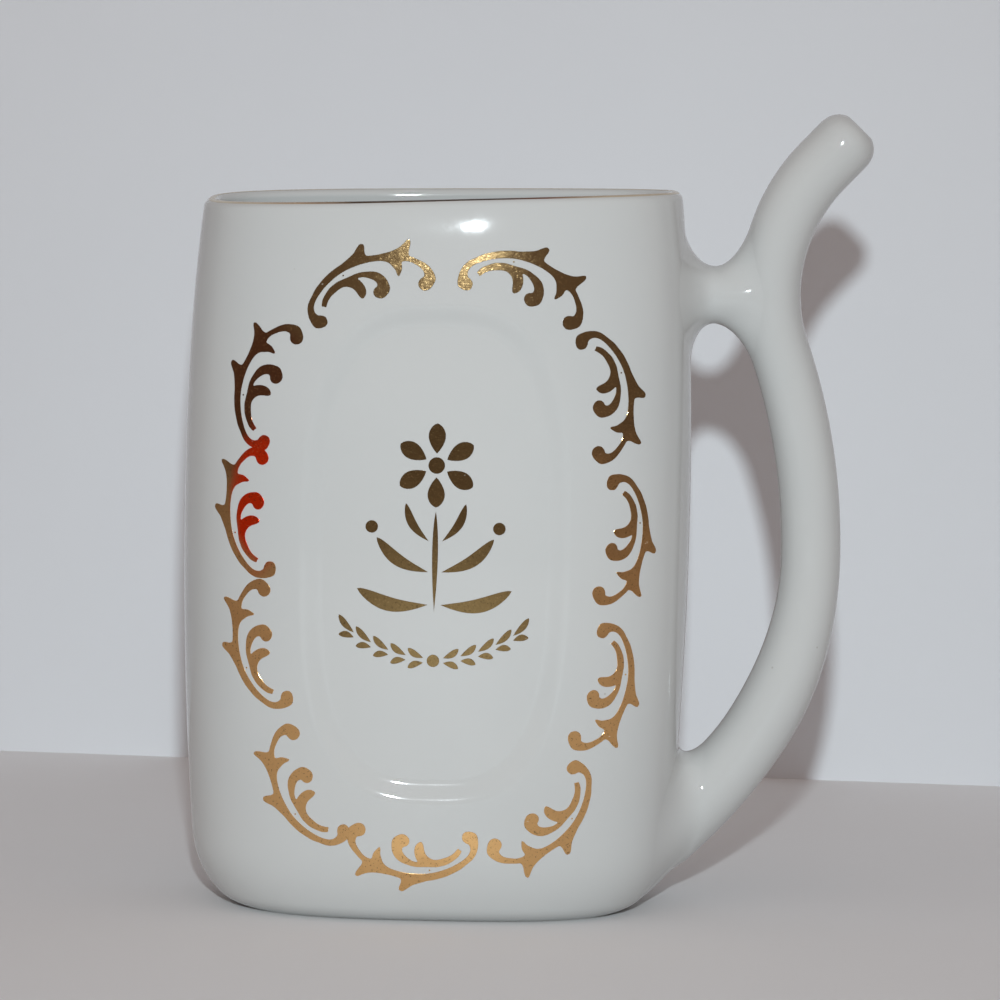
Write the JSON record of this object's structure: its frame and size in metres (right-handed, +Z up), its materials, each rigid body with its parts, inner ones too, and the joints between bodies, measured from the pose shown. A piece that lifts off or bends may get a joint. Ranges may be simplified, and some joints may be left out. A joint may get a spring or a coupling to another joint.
{
  "type": "spa cup",
  "caption": "Flat porcelain drinking flask with a wide mouth and a hollow handle that ends in a sipping spout, with gilt scrollwork round a sunken oval panel.",
  "frame": {"origin": "middle of the foot, on the surface that the cup stands on", "axes": "+X towards the handle and its spout, -Y towards the gilded front, +Z up"},
  "size_m": [0.1049, 0.0455, 0.1236],
  "materials": {
    "porcelain": "clear gloss glaze over white porcelain",
    "gilding": "thin bright gold, lightly worn"
  },
  "bodies": {
    "root": {"cup_body": "porcelain", "drinking_tube": "porcelain", "bridge": "porcelain", "gilt_rim_line": "gilding", "gilt_scroll_1": "gilding", "gilt_scroll_2": "gilding", "gilt_scroll_3": "gilding", "gilt_scroll_4": "gilding", "gilt_scroll_5": "gilding", "gilt_scroll_6": "gilding", "gilt_scroll_7": "gilding", "gilt_scroll_8": "gilding", "gilt_scroll_9": "gilding", "gilt_scroll_10": "gilding", "gilt_scroll_11": "gilding", "gilt_flower": "gilding", "gilt_sprays": "gilding", "gilt_swag": "gilding"}
  },
  "joints": []
}
